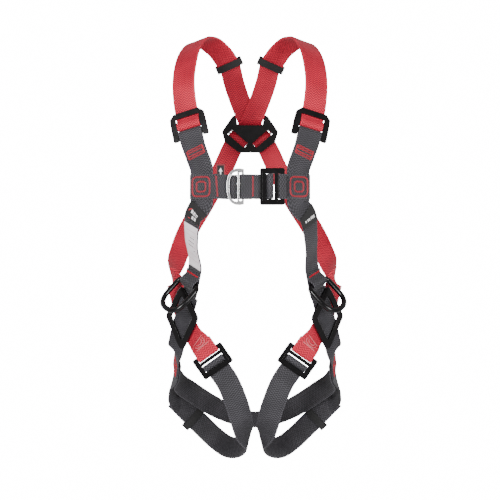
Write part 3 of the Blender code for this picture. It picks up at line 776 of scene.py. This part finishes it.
def front_stations(side):
    """From the shoulder adjuster down the chest and the flank, over the hip frame to the hip joint."""
    upper = local_stations(adjuster_frame(side), FRONT_LOOP)
    chest = [station(place(side * 0.0985, -0.1080, 0.176), yawed(side, 16))]
    junction = straight(junction_frame(side), -0.028, 0.028)
    flank = [
        station(place(side * 0.1050, -0.1055, 0.0640), yawed(side, 43)),
        station(place(side * 0.1130, -0.0840, 0.0180), yawed(side, 50)),
    ]
    ring = straight(side_ring_frame(side), -0.028, 0.018)
    hip = hip_stations(side, [(0.0190, 0.047), (0.0176, 0.044), (0.0080, 0.018), (-0.0050, -0.012),
                              (-0.0205, -0.058), (-0.0215, -0.061)], -HIP_DEPTH)
    return upper + chest + junction + flank + ring + hip + hip_joint(side)


def hip_joint(side, level=0.0):
    """The sewn joint at the outer hip where front, leg and seat straps meet."""
    start = Vector((0.1600, 0.012, -0.222))
    end = Vector((0.1660, 0.034, -0.252))
    normal = Vector((side * 0.955, -0.29, 0.0)).normalized()
    run = []
    for t in (0.0, 0.09, 0.91, 1.0):
        x, y, z = start.lerp(end, t)
        run.append((place(side * x, y, z) + normal * level, normal))
    return run


def front_strap(side_name, side):
    path = smooth_path(front_stations(side), FINE)
    ribbon(f"front_strap_{side_name}", path, "grey_webbing")
    return path


def leg_stations(side):
    """The thigh loop: behind the thigh, between the legs and up the front to the leg buckle."""
    behind = worn_run(side, [
        (0.1760, 0.066, -0.2850, 0.98, 0.20, 0.02),
        (0.1720, 0.088, -0.3180, 0.86, 0.50, 0.00),
        (0.1490, 0.101, -0.3480, 0.40, 0.90, -0.12),
        (0.1160, 0.108, -0.3830, 0.14, 0.95, -0.28),
        (0.0820, 0.096, -0.4110, 0, 0.90, -0.44),
        (0.0520, 0.062, -0.4180, -0.30, 0.76, -0.56),
        (0.0270, 0.034, -0.4080, -0.74, 0.40, -0.54),
    ])
    ahead = worn_run(side, [
        (0.0122, 0.006, -0.3860, -0.96, -0.02, -0.28),
        (0.0210, -0.026, -0.3560, -0.56, -0.76, -0.33),
        (0.0345, -0.044, -0.3040, -0.06, -0.99, -0.10),
    ])
    return behind, ahead + local_stations(leg_buckle_frame(side), [(0.045, -0.0034, 0)])


def leg_strap(side_name, side):
    """The thigh strap with its tail, which comes back on the inside as far as the keeper."""
    start = hip_joint(side, -LAYER)
    behind, ahead = leg_stations(side)
    wrap = local_stations(leg_buckle_frame(side), INSERT_WRAP)
    tail = under(behind + ahead)
    last = tail[2]
    free_end = (last[0] + (last[0] - tail[3][0]).normalized() * 0.036, last[1])
    stations = start + behind + ahead + wrap + tail[:1:-1] + [free_end]
    path = smooth_path(stations, FINE)
    ribbon(f"leg_strap_{side_name}", path, "grey_webbing")
    return path


SEAT_CLEARANCE = 0.0012    # extra room between the seat strap and the leg strap at the hip joint


def seat_strap():
    half = [
        (0.1600, 0.062, -0.2800, 0.88, 0.46, 0.0),
        (0.1330, 0.088, -0.3080, 0.60, 0.76, -0.22),
        (0.0960, 0.108, -0.3380, 0.28, 0.86, -0.42),
        (0.0520, 0.117, -0.3620, 0.08, 0.72, -0.69),
        (0.0, 0.119, -0.3740, 0.0, 0.55, -0.83),
    ]
    runs = {side: hip_joint(side, -2 * LAYER - SEAT_CLEARANCE) + worn_run(side, half) for side in (-1, 1)}
    stations = runs[-1] + runs[1][-2::-1]
    ribbon("seat_strap", smooth_path(stations, FINE), "grey_webbing")


RING_T = 0.004         # thickness of the sternal ring, which is pressed from plate


def junction_station(side, inward, level):
    """A station on the horizontal line through the chest junction, facing outward."""
    frame = junction_frame(side)
    outward = frame.to_3x3() @ UP
    return frame @ Vector((side * inward, 0, level)), outward


def chest_straps():
    ring_x, ring_y, ring_z = CHEST_RING
    rear = ring_y + RING_T / 2 + GAP + THICK / 2
    front = ring_y - RING_T / 2 - GAP - THICK / 2
    right = [junction_station(-1, k, LAYER) for k in (-0.0225, 0.0, 0.0195, 0.0225)]
    right += [
        station((-0.045, rear + LAYER - 0.0006, ring_z), (-0.06, -1, 0)),
        station((ring_x, rear + LAYER, ring_z), (0, -1, 0)),
        station((0.003, rear + LAYER, ring_z), (0, -1, 0)),
    ]
    paths = {"right": smooth_path(right, FINE)}
    ribbon("chest_strap_right", paths["right"], "grey_webbing")

    buckle_frame = chest_buckle_frame()
    middle = [
        station((0.003, rear, ring_z), (0, 1, 0)),
        station((ring_x + 0.0015, rear, ring_z), (0, 1, 0)),
        station((ring_x - 0.0031, rear - 0.0004, ring_z), (-0.7, 0.7, 0)),
        station((ring_x - 0.0043, ring_y, ring_z), (-1, 0, 0)),
        station((ring_x - 0.0031, front + 0.0004, ring_z), (-0.7, -0.7, 0)),
        station((ring_x + 0.0015, front, ring_z), (0, -1, 0)),
    ]
    middle += local_stations(buckle_frame, INSERT_WRAP + [(0.0320, -0.00575, 180)])
    paths["middle"] = smooth_path(middle, FINE)
    ribbon("chest_strap_middle", paths["middle"], "grey_webbing")

    left = [junction_station(1, k, LAYER) for k in (-0.0225, 0.0, 0.0195, 0.0225)]
    loop = local_stations(buckle_frame, LOOP_WRAP[::-1] + [(-0.0250, BUCKLE_LOOP, 0)])
    left += [(point, -facing) for point, facing in loop]
    ribbon("chest_strap_left", smooth_path(left, FINE), "grey_webbing")

    for side_name, side in SIDES.items():
        backing = [junction_station(side, k, -LAYER) for k in (-0.0225, 0.0225)]
        ribbon(f"junction_backing_{side_name}", smooth_path(backing, FINE), "grey_webbing")
    return paths


# Webbing tunnel that holds the base bar of a side ring on the front strap.
SIDE_RING_R = 0.0052
SIDE_BAR = THICK / 2 + GAP + SIDE_RING_R
SIDE_RING_TILT = 40.0
TUNNEL = [
    (-0.0230, LAYER, 0),
    (-0.0138, LAYER + 0.0004, 0),
    (-0.0067, SIDE_BAR + 0.0036, -50),
    (0.0, SIDE_BAR + SIDE_RING_R + GAP + THICK / 2 + 0.0007, 0),
    (0.0067, SIDE_BAR + 0.0036, 50),
    (0.0131, LAYER + 0.0012, 0),
]


def side_ring(side_name, side):
    frame = side_ring_frame(side)
    ribbon(f"ring_tunnel_{side_name}", smooth_path(local_stations(frame, TUNNEL), FINE), "grey_webbing")
    turned = frame @ Matrix.Translation((0, 0, SIDE_BAR))
    turned = turned @ Matrix.Rotation(math.radians(SIDE_RING_TILT), 4, "X")
    outline = [(x, -y) for x, y in d_outline(0.0310, 0.066, 0.0120, 0.0310, 0.030)]
    round_ring(f"side_ring_{side_name}", outline, SIDE_RING_R, turned, "black_coated_steel")


DORSAL_RING_TILT = 68.0


def dorsal_ring():
    frame = dorsal_frame() @ Matrix.Translation((0, DORSAL_BAR_V, DORSAL_BAR_N))
    frame = frame @ Matrix.Rotation(math.radians(-DORSAL_RING_TILT), 4, "X")
    outline = d_outline(0.0480, 0.060, 0.006, 0.036, 0.030)
    round_ring("dorsal_ring", outline, DORSAL_BAR_R, frame, "bright_steel")


def bow_outline(start, reach, half_y, steps):
    """A full, rounded bow from (start, -half_y) out to (start + reach, 0) and back."""
    outline = []
    for k in range(steps + 1):
        angle = math.pi * (k / steps - 0.5)
        outward = abs(math.cos(angle)) ** 0.80
        height = math.copysign(abs(math.sin(angle)) ** 0.80, angle)
        outline.append(Vector((start + reach * outward, half_y * height)))
    return outline


def sternal_ring():
    """A flat two-bar D: the middle strap is looped round its outer bar."""
    frame = axes_at(CHEST_RING, (-1, 0, 0), UP, BACKWARD)
    rim = [Vector((-0.0021, -0.0320))] + bow_outline(0.0060, 0.0240, 0.0335, 14) + [Vector((-0.0021, 0.0320))]
    slot = box_outline(0.0021, -0.0260, 0.0064, 0.0260, 0.0010, 2)
    eye = bow_outline(0.0104, 0.0142, 0.0272, 12)
    flat_plate("sternal_ring", [rim, slot, eye], RING_T, 0.0018, frame, "bright_steel")


def frame_on_path(path, target, outward):
    """Frame of a band on a strap: X across the webbing, Y outward, Z along it."""
    facing_out = [i for i in range(1, len(path) - 1) if path[i][1].dot(outward) > 0]
    nearest = min(facing_out, key=lambda i: (path[i][0] - target).length)
    point, normal = path[nearest]
    along = (path[nearest + 1][0] - path[nearest - 1][0]).normalized()
    outward = (normal - along * normal.dot(along)).normalized()
    return axes_at(point, outward.cross(along), outward, along)


KEEPER_LENGTH = 0.015
KEEPER_WALL = 0.0012
KEEPER_ROOM = 0.0029


def keeper(name, frame):
    """Elastic band round a strap and its tail."""
    half_x = WIDTH / 2 + 2 * KEEPER_ROOM
    low = -THICK / 2 - LAYER - KEEPER_ROOM
    high = THICK / 2 + KEEPER_ROOM
    wall = KEEPER_WALL
    rim = box_outline(-half_x - wall, low - wall, half_x + wall, high + wall, wall, 2)
    hole = box_outline(-half_x, low, half_x, high, 0.0005, 2)
    flat_plate(name, [rim, hole], KEEPER_LENGTH, 0.0002, frame, "black_elastic")


def tag_on_strap(name, path, low, high, width, thick, slot):
    """A label sewn flat on the outside of a front strap between two heights."""
    inside = [i for i, (point, _) in enumerate(path) if low <= point.z <= high and point.y < 0]
    level = THICK / 2 + GAP + thick / 2
    ribbon(name, path, slot, width=width, thick=thick, level=level, span=(inside[0], inside[-1]))


def attachment_tag_frame():
    return Matrix.Translation((-0.054, CHEST_RING[1] + 0.0116, 0.145)) @ Matrix.Rotation(math.pi / 2, 4, "X")


def labels(front_paths):
    tag_on_strap("maker_tag", front_paths["right"], 0.053, 0.081, WIDTH, 0.0010, "black_elastic")
    tag_on_strap("inspection_label", front_paths["right"], -0.036, 0.049, 0.042, 0.0008, "label_cloth")
    tag_on_strap("size_tag", front_paths["left"], 0.044, 0.070, WIDTH, 0.0010, "black_elastic")
    outline = box_outline(-0.0082, -0.014, 0.0082, 0.013, 0.001, 2)
    flat_plate("attachment_tag", [outline], 0.0012, 0.0002, attachment_tag_frame(), "black_elastic")


# ---- sewing and prints ----
THREAD_R = 0.00055      # radius of the sewing thread
BAND = 0.0030           # width of a dense zigzag seam
BAND_PITCH = 0.0012     # advance per stitch of a zigzag seam
PRINT_RISE = 0.00012    # how far a print stands off its label
LONG_CUTS = 16          # short blocks that stand for one long printed line


def on_frame(frame, level):
    """The plane at a height over a fitting's frame, as a map from (across, along) to a point."""
    facing = frame.to_3x3() @ UP
    return lambda u, v: (frame @ Vector((u, v, level)), facing)


def on_path(path, near, level, outward=None):
    """The face of a strap around its sample nearest to a point, as a map from (across, along)."""
    rows = strap_rows(path)
    able = [i for i, row in enumerate(rows) if outward is None or row[2].dot(outward) > 0]
    base = rows[min(able, key=lambda i: (rows[i][0] - Vector(near)).length)][3]

    def surface(u, v):
        run = min(max(base + v, rows[0][3]), rows[-1][3] - 1e-6)
        after = next(i for i, row in enumerate(rows) if row[3] > run)
        first, second = rows[after - 1], rows[after]
        t = (run - first[3]) / (second[3] - first[3])
        point, across, facing = (first[k].lerp(second[k], t) for k in range(3))
        return point + across * u + facing * level, facing

    return surface


def seam(surface, corners, width=BAND, pitch=BAND_PITCH):
    """Thread that zigzags along a line of (across, along) corners."""
    run = []
    side = 1
    for start, end in zip(corners, corners[1:]):
        start, end = Vector(start), Vector(end)
        length = (end - start).length
        normal = Vector((start.y - end.y, end.x - start.x)) / length
        steps = max(1, round(length / pitch))
        for k in range(steps):
            side = -side
            u, v = start.lerp(end, k / steps) + normal * (side * width / 2)
            point, facing = surface(u, v)
            run.append(point + facing * THREAD_R * 0.5)
    return run


def thread(name, node, mat, runs):
    """Seams of round thread, each run a list of points in space."""
    curve = poly_curve(name, "3D", runs, False)
    curve.bevel_depth = THREAD_R
    curve.bevel_resolution = 1
    curve.use_fill_caps = True
    mesh = mesh_of(curve)
    mesh.polygons.foreach_set("use_smooth", [True] * len(mesh.polygons))
    add_piece(bpy.data.objects.new("sewn_" + name, mesh), node, mat)


def print_on(name, node, mat, surface, shapes):
    """Thin raised marks, each a convex outline of (across, along) points."""
    vertices = []
    faces = []
    for shape in shapes:
        base = len(vertices)
        count = len(shape)
        for lift in (0.0, PRINT_RISE):
            for u, v in shape:
                point, facing = surface(u, v)
                vertices.append(tuple(point + facing * lift))
        faces.append(tuple(base + count + k for k in range(count)))
        faces.append(tuple(base + k for k in range(count - 1, -1, -1)))
        for k in range(count):
            n = (k + 1) % count
            faces.append((base + k, base + n, base + count + n, base + count + k))
    mesh = bpy.data.meshes.new(name)
    mesh.from_pydata(vertices, [], faces)
    add_piece(bpy.data.objects.new("print_" + name, mesh), node, mat)


def block(u, v, wide, high):
    return [(u, v), (u + wide, v), (u + wide, v + high), (u, v + high)]


def rounded_box(half_u, half_v, radius):
    """A seam line round a box with rounded corners, which ends where it starts."""
    outline = box_outline(-half_u, -half_v, half_u, half_v, radius, 4)
    return outline + outline[:1]


def sew_junction(side_name, side):
    face = on_frame(junction_frame(side), LAYER + THICK / 2)
    outer = rounded_box(0.0170, 0.0178, 0.0085)
    inner = rounded_box(0.0088, 0.0092, 0.0045)
    thread(f"junction_{side_name}", f"chest_strap_{side_name}", THREAD_RED,
           [seam(face, outer), seam(face, inner)])


def sew_front_strap(side_name, side, path):
    face = on_path(path, (side * 0.0975, -0.108, 0.182), THICK / 2, FORWARD)
    box = [(-0.0165, -0.0085), (0.0165, -0.0085), (0.0165, 0.0070), (-0.0165, 0.0070), (-0.0165, -0.0085)]
    bars = [[(-0.0160, k), (0.0160, k)] for k in (-0.0040, 0.0025)]
    thread(f"front_loop_{side_name}", f"front_strap_{side_name}", THREAD_RED,
           [seam(face, line) for line in [box] + bars])
    tunnel = on_frame(side_ring_frame(side), LAYER + THICK / 2 + 0.0004)
    thread(f"tunnel_{side_name}", f"ring_tunnel_{side_name}", THREAD_RED,
           [seam(tunnel, [(-0.0190, -0.0185), (0.0190, -0.0185)])])
    hip = on_path(path, place(side * 0.1630, 0.023, -0.237), THICK / 2)
    frame_line = rounded_box(0.0170, 0.0150, 0.0015)
    cross = [[(-0.0160, -0.0140), (0.0160, 0.0140)], [(0.0160, -0.0140), (-0.0160, 0.0140)]]
    thread(f"hip_joint_{side_name}", f"front_strap_{side_name}", THREAD_RED,
           [seam(hip, line) for line in [frame_line] + cross])


def sew_leg_loop(side_name, side, path):
    """Pale lines that close the red webbing's loop above the leg buckle."""
    face = on_path(path, place(side * 0.1085, -0.044, -0.184), THICK / 2, FORWARD)
    lines = [[(-0.0150, k), (0.0150, k)] for k in (-0.0080, 0.0075)]
    bow = [(-0.0120, -0.0050), (-0.0120, 0.0000), (-0.0090, 0.0042), (0.0, 0.0056),
           (0.0090, 0.0042), (0.0120, 0.0000), (0.0120, -0.0050)]
    inner = [(u * 0.62, v * 0.55 - 0.0020) for u, v in bow]
    thread(f"leg_loop_{side_name}", f"main_strap_{OTHER[side_name]}", THREAD_PALE,
           [seam(face, line, 0.0009, 0.0016) for line in lines + [bow, inner]])


def sew_chest(paths):
    bar = [(-0.0185, 0.0), (0.0185, 0.0)]
    slanted = [(-0.0190, -0.0022), (0.0190, 0.0022)]
    middle = on_path(paths["middle"], (0.0063, -0.130, 0.115), THICK / 2, FORWARD)
    thread("chest_middle", "chest_strap_middle", THREAD_RED, [seam(middle, bar)])
    right = on_path(paths["right"], (-0.0600, -0.118, 0.115), THICK / 2, FORWARD)
    thread("chest_right", "chest_strap_right", THREAD_RED, [seam(right, slanted)])


def split_long(shapes):
    """Cuts long upright blocks into short ones, so that they follow a curved strap."""
    cut = []
    for (u, low), _, (u_high, high), _ in shapes:
        step = (high - low) / LONG_CUTS
        cut += [block(u, low + step * k, u_high - u, step) for k in range(LONG_CUTS)]
    return cut


def print_tags(front_paths):
    """Generic blocks, lines and an arrow in place of words and marks."""
    over_tag = THICK / 2 + GAP + 0.0010
    maker = on_path(front_paths["right"], (-0.1060, -0.104, 0.068), over_tag, FORWARD)
    blocks = [block(u, v, 0.0052, 0.0058) for v in (-0.0070, 0.0015) for u in (-0.0110, -0.0040, 0.0030)]
    print_on("maker_blocks", "maker_tag", PRINT_WHITE, maker, blocks[:5])
    print_on("maker_shape", "maker_tag", PRINT_RED, maker,
             [[(0.0100, -0.0080), (0.0165, -0.0030), (0.0110, 0.0090), (0.0055, 0.0085)],
              block(-0.0205, -0.0120, 0.0016, 0.0240)])
    size = on_path(front_paths["left"], (0.1060, -0.104, 0.057), over_tag, FORWARD)
    starts = (-0.0150, -0.0108, -0.0066, -0.0010, 0.0032, 0.0098)
    print_on("size_blocks", "size_tag", PRINT_WHITE, size,
             [block(u, -0.0020, 0.0030, 0.0046) for u in starts])
    flap = on_frame(attachment_tag_frame(), 0.0006)
    head = [(-0.0034, -0.0010), (0.0034, -0.0010), (0.0, 0.0060)]
    shaft = block(-0.0010, -0.0070, 0.0020, 0.0061)
    print_on("flap_arrow", "attachment_tag", PRINT_WHITE, flap, [head, shaft])
    rim = [block(-0.0074, -0.0120, 0.0008, 0.0236), block(0.0066, -0.0120, 0.0008, 0.0236),
           block(-0.0066, 0.0108, 0.0132, 0.0008)]
    print_on("flap_rim", "attachment_tag", PRINT_RED, flap, rim)
    label = on_path(front_paths["right"], (-0.1130, -0.080, 0.006), THICK / 2 + GAP + 0.0008)
    edges = [block(-0.0185, -0.0400, 0.0005, 0.0800), block(0.0180, -0.0400, 0.0005, 0.0800)]
    rules = [block(-0.0150, v, 0.0290, 0.0006) for v in (-0.0330, -0.0240, -0.0030, 0.0180, 0.0320)]
    print_on("label_rules", "inspection_label", PRINT_PINK, label, split_long(edges) + rules)
    words = [block(-0.0120 + 0.0050 * (k % 4), -0.0200 + 0.0085 * (k // 4), 0.0036, 0.0016)
             for k in range(14) if k % 5 != 3]
    print_on("label_words", "inspection_label", PRINT_DARK, label, words)


# ---- camera, light and floor ----
CAMERA_BACK = 1.27     # distance from the camera to the middle of the harness
SENSOR = 36.0          # width of the sensor, in millimetres
FOCAL = 45.288         # length of the lens, in millimetres
BACKDROP = 16.0        # world strength that the camera sees
REFLECTED = 0.55       # world strength that shiny pieces mirror
AMBIENT = 0.13         # world strength that lights the pieces
FLOOR_HALF = 1.8       # half the side of the square floor
FLOOR_Z = -1.3


def camera():
    data = bpy.data.cameras.new("camera")
    data.lens = FOCAL
    data.sensor_width = SENSOR
    data.clip_start = 0.05
    obj = bpy.data.objects.new("camera", data)
    obj.location = (0, -CAMERA_BACK, 0)
    obj.rotation_euler = (math.pi / 2, 0, 0)
    link(obj)
    bpy.context.scene.camera = obj


def softbox(name, where, towards, size, power):
    data = bpy.data.lights.new(name, "AREA")
    data.shape = "RECTANGLE"
    data.size = size[0]
    data.size_y = size[1]
    data.energy = power
    obj = bpy.data.objects.new(name, data)
    obj.location = where
    obj.rotation_euler = (Vector(towards) - Vector(where)).to_track_quat("-Z", "Y").to_euler()
    link(obj)


def studio():
    world = bpy.data.worlds.new("studio")
    world.use_nodes = True
    tree = world.node_tree
    background = tree.nodes["Background"]
    background.inputs["Color"].default_value = (1.0, 1.0, 1.0, 1.0)
    seen = tree.nodes.new("ShaderNodeLightPath")
    strength = AMBIENT
    for output, level in (("Is Camera Ray", BACKDROP), ("Is Glossy Ray", REFLECTED)):
        added = tree.nodes.new("ShaderNodeMath")
        added.operation = "MULTIPLY_ADD"
        tree.links.new(seen.outputs[output], added.inputs[0])
        added.inputs[1].default_value = level - AMBIENT
        if isinstance(strength, float):
            added.inputs[2].default_value = strength
        else:
            tree.links.new(strength, added.inputs[2])
        strength = added.outputs[0]
    tree.links.new(strength, background.inputs["Strength"])
    bpy.context.scene.world = world
    softbox("key", (-1.05, -2.0, 0.40), (0, 0, 0.05), (0.8, 0.9), 62)
    softbox("fill", (1.25, -1.85, 0.10), (0, 0, 0), (0.8, 0.9), 48)
    softbox("back_right", (-2.3, 1.8, 0.5), (0, 0, 0), (1.0, 1.4), 34)
    softbox("back_left", (2.3, 1.8, 0.5), (0, 0, 0), (1.0, 1.4), 34)


def floor():
    mesh = bpy.data.meshes.new("floor")
    corners = [(x * FLOOR_HALF, y * FLOOR_HALF, FLOOR_Z) for x, y in ((-1, -1), (1, -1), (1, 1), (-1, 1))]
    mesh.from_pydata(corners, [], [(0, 1, 2, 3)])
    n = Nodes("floor_look")
    n.uniform(Base_Color=(0.93, 0.93, 0.93, 1.0), Roughness=0.8)
    mesh.materials.append(n.mat)
    obj = bpy.data.objects.new("floor", mesh)
    link(obj)


def build():
    dorsal_plate()
    dorsal_ring()
    sternal_ring()
    front_paths = {}
    for side_name, side in SIDES.items():
        shoulder_adjuster(side_name, side)
        buckle(f"leg_buckle_{side_name}", leg_buckle_frame(side))
        hip_plate(side_name, side)
        red = main_strap(side_name, side)
        target = Vector((side * 0.045, 0.086, 0.3985))
        keeper(f"shoulder_keeper_{side_name}", frame_on_path(red, target, Vector((0, 1, 0.5))))
        front_paths[side_name] = front_strap(side_name, side)
        grey = leg_strap(side_name, side)
        target = place(side * 0.1300, 0.105, -0.364)
        keeper(f"leg_keeper_{side_name}", frame_on_path(grey, target, Vector((0, 1, 0))))
        side_ring(side_name, side)
        sew_junction(side_name, side)
        sew_front_strap(side_name, side, front_paths[side_name])
        sew_leg_loop(OTHER[side_name], -side, red)
    buckle("chest_buckle", chest_buckle_frame())
    sew_chest(chest_straps())
    seat_strap()
    labels(front_paths)
    print_tags(front_paths)


camera()
studio()
floor()
build()
